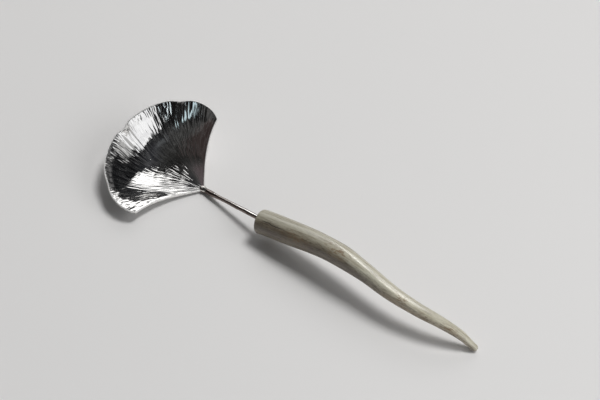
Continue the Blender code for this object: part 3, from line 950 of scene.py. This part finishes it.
def hammered_silver():
    """Polished silver with fine radial lines, a faint grey bloom and a mauve painted reflection by the
    solder.

    The outside is left satin. The filed edge is pale and dull, and the rubbed ridges are slightly so.
    """
    finish = Finish("hammered silver", {})
    fan = finish.attribute("fan")
    lines = finish.lines(fan, (60.0, 2600.0, 0.0))
    streaks = finish.lines(fan, (110.0, 1100.0, 0.0), 3.0, 0.6)
    bloom = finish.noise(finish.place(), 140.0, 4.0)
    silver = finish.blend(finish.step(bloom, 0.42, 0.72), BRIGHT_SILVER, BLOOMED_SILVER)
    silver = finish.blend(finish.step(streaks, 0.52, 0.80) * 0.6, silver, STREAKED_SILVER)
    rubbed, painted_mauve, outside = finish.parts(finish.attribute("wear_and_painted_light"), "XYZ")
    silver = finish.blend(outside * 0.7, silver, SATIN_SILVER)
    finish.feed("Base Color", finish.blend(painted_mauve * 0.8, silver, PAINTED_MAUVE_REFLECTION))
    polish = 0.06 + 0.05 * lines + 0.07 * finish.step(bloom, 0.45, 0.75)
    finish.feed("Roughness", polish + 0.40 * rubbed + 0.14 * outside)
    finish.feed("Metallic", 1 - 0.65 * rubbed - 0.11 * painted_mauve)
    finish.feed("Normal", finish.bump(lines, *LINE_BUMP))
    return finish.material


def forged_silver():
    """Forged silver with fine lines along the rod, a painted highlight along its back and dark brown
    elsewhere, which is tarnished silver and a painted dark reflection.
    """
    finish = Finish("forged silver", {"Metallic": 1.0})
    lay = finish.attribute("lay")
    lines = finish.lines(lay, (90.0, 2400.0, 2400.0))
    dull = finish.lines(lay, (150.0, 420.0, 420.0), 4.0)
    (painted_highlight_mask,) = finish.parts(finish.attribute("wear_and_painted_light"), "X")
    # Dark brown away from the painted highlight: tarnished silver and a painted dark reflection
    tarnish_and_dark_reflection = finish.blend(finish.step(dull, 0.40, 0.65), TARNISH_AND_DARK_REFLECTION, DEEP_TARNISH_AND_DARK_REFLECTION)
    finish.feed("Base Color", finish.blend(painted_highlight_mask, tarnish_and_dark_reflection, PAINTED_HIGHLIGHT_SILVER))
    finish.feed("Roughness", 0.22 + 0.12 * lines - 0.12 * painted_highlight_mask)
    finish.feed("Normal", finish.bump(lines, *LINE_BUMP))
    return finish.material


def silver_solder():
    """Bright solder with a slightly pitted skin."""
    finish = Finish("silver solder", {"Metallic": 1.0})
    pits = finish.noise(finish.place(), 1500.0)
    finish.feed("Base Color", finish.blend(finish.step(pits, 0.40, 0.70), BRIGHT_SOLDER, DULL_SOLDER))
    finish.feed("Roughness", 0.12 + 0.22 * pits)
    finish.feed("Normal", finish.bump(pits, *PIT_BUMP))
    return finish.material


def antler():
    """Satin antler, streaked along: ivory that pales towards the tip, with brown on the lower side.

    The lighter tone on the side towards -Y is painted light, and the brown of the lower side is partly the
    antler's own colour and partly painted shade. Lines and specks thicken on the lower side, flecks lie in
    a few places, the crack is painted dark as shade, and the sawn end is porous.
    """
    finish = Finish("antler", {"Coat Roughness": 0.20})
    grain = finish.attribute("grain")
    lower, flecks, crack = finish.parts(finish.attribute("tint_and_shade"), "XYZ")
    end, outward = finish.parts(finish.attribute("sawn"), "XY")
    along, aside = finish.parts(grain, "XY")
    streaks = finish.lines(grain, (26.0, 480.0, 480.0), 5.0, 0.6)
    fine = finish.lines(grain, (62.0, 900.0, 900.0), 4.0, 0.65)
    patches = finish.lines(grain, (34.0, 150.0, 150.0), 4.0)
    spots = finish.lines(grain, (330.0, 900.0, 900.0), 2.0)
    specks = finish.lines(grain, (380.0, 1150.0, 1150.0), 3.0, 0.6)

    # Lighter towards the tip; on the side towards -Y this is painted light, elsewhere the tip's own tone
    painted_light_flank = finish.step(aside, 0.0005, -0.002)
    paler_tip_and_painted_light = finish.step(along, 0.030, 0.115) * (0.3 + 0.7 * painted_light_flank)
    light = finish.blend(paler_tip_and_painted_light, IVORY, PALE_IVORY)
    dark = finish.blend(paler_tip_and_painted_light, IVORY_STREAK, PALE_STREAK)
    colour = finish.blend(finish.step(streaks, 0.44, 0.66), light, dark)
    # Brown of the lower side: partly the antler's own colour, partly painted shade
    bark_and_shade = finish.blend(finish.step(patches, 0.36, 0.64), BARK_AND_SHADE, DARK_BARK_AND_SHADE)
    bark_and_shade = finish.blend(finish.step(along, 0.080, 0.120) * 0.6, bark_and_shade, TAN_BARK_AND_SHADE)
    colour = finish.blend(lower * 0.9, colour, bark_and_shade)
    lined = finish.step(fine, 0.50, 0.66) * (0.36 + 0.44 * lower)
    colour = finish.blend(lined, colour, GRAIN_LINE)
    specked = finish.step(specks, 0.52, 0.66) * (0.16 + 0.60 * lower)
    colour = finish.blend(specked, colour, SPECK)
    colour = finish.blend(flecks * 0.20, colour, TAN)
    colour = finish.blend(flecks * finish.step(spots, 0.52, 0.62) * 0.8, colour, FLECK)
    # Painted shade in the crack
    colour = finish.blend(crack, colour, CRACK_SHADE)

    pores = finish.noise(finish.place(), 1500.0)
    pith = 1 - finish.step(outward, 0.35, 0.75)
    porous = finish.step(pores, 0.50, 0.62) * (0.25 + 0.75 * pith)
    face = finish.blend(pith * 0.7, SAWN_ANTLER, PITH)
    face = finish.blend(porous, face, PORE)
    finish.feed("Base Color", finish.blend(end, colour, face))
    finish.feed("Roughness", 0.34 + 0.20 * fine + 0.25 * end)
    finish.feed("Coat Weight", (0.70 - 0.40 * fine) * (1 - end))
    depth = (1 - end) * fine * 0.35 - end * porous
    finish.feed("Normal", finish.bump(depth, *GRAIN_BUMP))
    return finish.material


def cured_adhesive():
    """Amber resin with a few clouds in it."""
    finish = Finish("cured adhesive", {"Roughness": 0.30})
    clouds = finish.noise(finish.place(), 900.0)
    finish.feed("Base Color", finish.blend(finish.step(clouds, 0.35, 0.70), RESIN, CLOUDED_RESIN))
    return finish.material


# Stage

CAMERA_PLACE = Vector((0.43988, -0.57359, 0.92595))
CAMERA_TARGET = Vector((-0.01948, 0.03600, 0.0))
CAMERA_LENS = 107.95
SENSOR_WIDTH = 36.0
CLIP_END = 60.0
VIEW_AZIMUTH = radians(37)

FLOOR_START = 0.3
FLOOR_RADIUS = 14.0
FLOOR_RISE_START = 3.0
FLOOR_RISE = 1.6
FLOOR_RINGS = 40
FLOOR_SIDES = 96
FLOOR_LOOK = {"Base Color": (0.80, 0.79, 0.78, 1.0), "Roughness": 0.9, "Specular IOR Level": 0.1}

HIGH_LAMP_STRENGTH = 1.75
HIGH_LAMP_ANGLE = radians(20)
HIGH_LAMP_PLACE = (58, 65)
LAMP_DISTANCE = 1.6
LAMP_AIM = CAMERA_TARGET + Vector((-0.06, 0.0, 0.0))

# Softboxes: azimuth, elevation, width and height in degrees, radiance and colour
WHITE = (1.0, 1.0, 1.0)
FILL = ("right_fill", 106, 38, 36, 30, 2.0, WHITE)
SOFTBOXES = (
    ("back_box", 8, 36, 55, 17, 1.45, WHITE),
    ("high_box", 11, 49.5, 36, 11, 1.3, WHITE),
    ("right_box", 129, 22, 45, 30, 1.0, (0.97, 0.98, 1.0)),
    ("right_wing", 93.5, 17, 24, 16, 0.45, WHITE),
    ("left_strip", 174, 20, 2, 10, 1.6, (0.84, 0.95, 1.0)),
    ("left_box", -146, 26, 12, 12, 0.82, (0.74, 0.93, 1.0)),
    ("left_glow", -138, 43.5, 60, 10, 0.040, WHITE),
    ("warm_side", -84, 32, 34, 26, 0.030, (1.0, 0.72, 0.70)),
    ("left_high", 167, 57, 18, 10, 0.05, (0.86, 0.94, 1.0)),
)
STEM_STRIP = ("stem_strip", -22, 33, 26, 15, 1.5, WHITE)
HANDLE_SHEEN = ("handle_sheen", 20, 58, 30, 30, 9.0, WHITE)

# Room: its glow at the level of the table and what is added overhead, its clouds, and its two tones
ROOM_GLOW = 0.006
OVERHEAD_GLOW = 0.020
CLOUD_SCALE = 13.0
WARM_AZIMUTH = -105
COOL_ROOM = (0.90, 0.95, 1.08)
WARM_ROOM = (1.0, 1.0, 0.96)


def towards(azimuth, elevation):
    """Direction from the spoon; azimuth turns from straight away from the camera towards its right."""
    turn, rise = radians(azimuth) - VIEW_AZIMUTH, radians(elevation)
    return Vector((sin(turn) * cos(rise), cos(turn) * cos(rise), sin(rise)))


def add_turned(name, data, direction, axis):
    """Camera or lamp whose axis points in a direction."""
    item = bpy.data.objects.new(name, data)
    item.rotation_mode = "QUATERNION"
    item.rotation_quaternion = direction.to_track_quat(axis, "Y")
    bpy.context.scene.collection.objects.link(item)
    return item


def softbox(name, azimuth, elevation, width, height, radiance, colour):
    """Flat lamp that faces the spoon; width and height are angles seen from the spoon."""
    lamp = bpy.data.lights.new(name, "AREA")
    lamp.shape = "RECTANGLE"
    lamp.size = 2 * LAMP_DISTANCE * tan(radians(width) / 2)
    lamp.size_y = 2 * LAMP_DISTANCE * tan(radians(height) / 2)
    lamp.energy = radiance * pi * lamp.size * lamp.size_y
    lamp.color = colour
    direction = towards(azimuth, elevation)
    box = add_turned(name, lamp, direction, "Z")
    box.location = LAMP_AIM + direction * LAMP_DISTANCE
    box.visible_camera = False
    return box


def keep_to_gloss(box, *pieces):
    """Lets a lamp show only as a reflection on these pieces."""
    lit = bpy.data.collections.new(box.name + "_receivers")
    for piece in pieces:
        lit.objects.link(piece)
    box.light_linking.receiver_collection = lit
    box.visible_diffuse = False


def make_camera():
    camera = bpy.data.cameras.new("camera")
    camera.sensor_width = SENSOR_WIDTH
    camera.lens = CAMERA_LENS
    camera.clip_end = CLIP_END
    eye = add_turned("camera", camera, CAMERA_TARGET - CAMERA_PLACE, "-Z")
    eye.location = CAMERA_PLACE
    bpy.context.scene.camera = eye


def make_floor():
    """Pale round floor, level under the spoon, that rises gently far away."""
    ring = np.concatenate(([0.0], np.geomspace(FLOOR_START, FLOOR_RADIUS, FLOOR_RINGS)))[:, None]
    turn = np.linspace(0.0, 2 * pi, FLOOR_SIDES, endpoint=False)[None]
    height = FLOOR_RISE * ramp(ring, FLOOR_RISE_START, FLOOR_RADIUS)
    points = np.stack((ring * np.cos(turn), ring * np.sin(turn), height + 0 * turn), axis=-1)
    faces = grid_faces(FLOOR_RINGS + 1, FLOOR_SIDES, closed=True)[:, ::-1]
    mesh = bpy.data.meshes.new("floor")
    mesh.from_pydata(points.reshape(-1, 3).tolist(), [], faces.tolist())
    mesh.shade_smooth()
    floor = bpy.data.objects.new("floor", mesh)
    bpy.context.scene.collection.objects.link(floor)
    mesh.materials.append(Finish("pale floor", FLOOR_LOOK).material)


def make_lamps():
    """One broad high lamp and a fill that give no gloss, and softboxes for the silver to reflect."""
    sun = bpy.data.lights.new("high_lamp", "SUN")
    sun.energy = HIGH_LAMP_STRENGTH
    sun.angle = HIGH_LAMP_ANGLE
    high = add_turned("high_lamp", sun, towards(*HIGH_LAMP_PLACE), "Z")
    high.visible_glossy = False
    fill = softbox(*FILL)
    fill.visible_glossy = False
    for box in SOFTBOXES:
        softbox(*box)


def make_room():
    """Dim world round the stage for the silver to reflect."""
    world = bpy.data.worlds.new("studio")
    world.use_nodes = True
    room = Finish("studio", {}, world)
    direction = room.node("ShaderNodeTexCoord", {}, {}, "Generated")
    (height,) = room.parts(direction, "Z")
    cloud = room.noise(direction, CLOUD_SCALE)
    glow = ROOM_GLOW + OVERHEAD_GLOW * room.step(height, 0.50, 0.92)
    glow = glow * (0.25 + 1.5 * room.step(cloud, 0.32, 0.68))
    sockets = {0: direction, 1: towards(WARM_AZIMUTH, 0)}
    side = room.node("ShaderNodeVectorMath", {"operation": "DOT_PRODUCT"}, sockets, "Value")
    room.feed("Color", room.blend(room.step(side, -0.4, 0.5), COOL_ROOM, WARM_ROOM))
    room.feed("Strength", glow)
    bpy.context.scene.world = world


bpy.context.scene.view_settings.view_transform = "Standard"
make_camera()
make_floor()
make_lamps()
make_room()
make_bowl(hammered_silver())
stem = make_stem(forged_silver())
bead = make_bead(silver_solder())
handle = make_handle(antler())
keep_to_gloss(softbox(*STEM_STRIP), stem, bead)
keep_to_gloss(softbox(*HANDLE_SHEEN), handle)
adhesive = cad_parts["tang_adhesive"]
adhesive.data.materials.clear()
adhesive.data.materials.append(cured_adhesive())
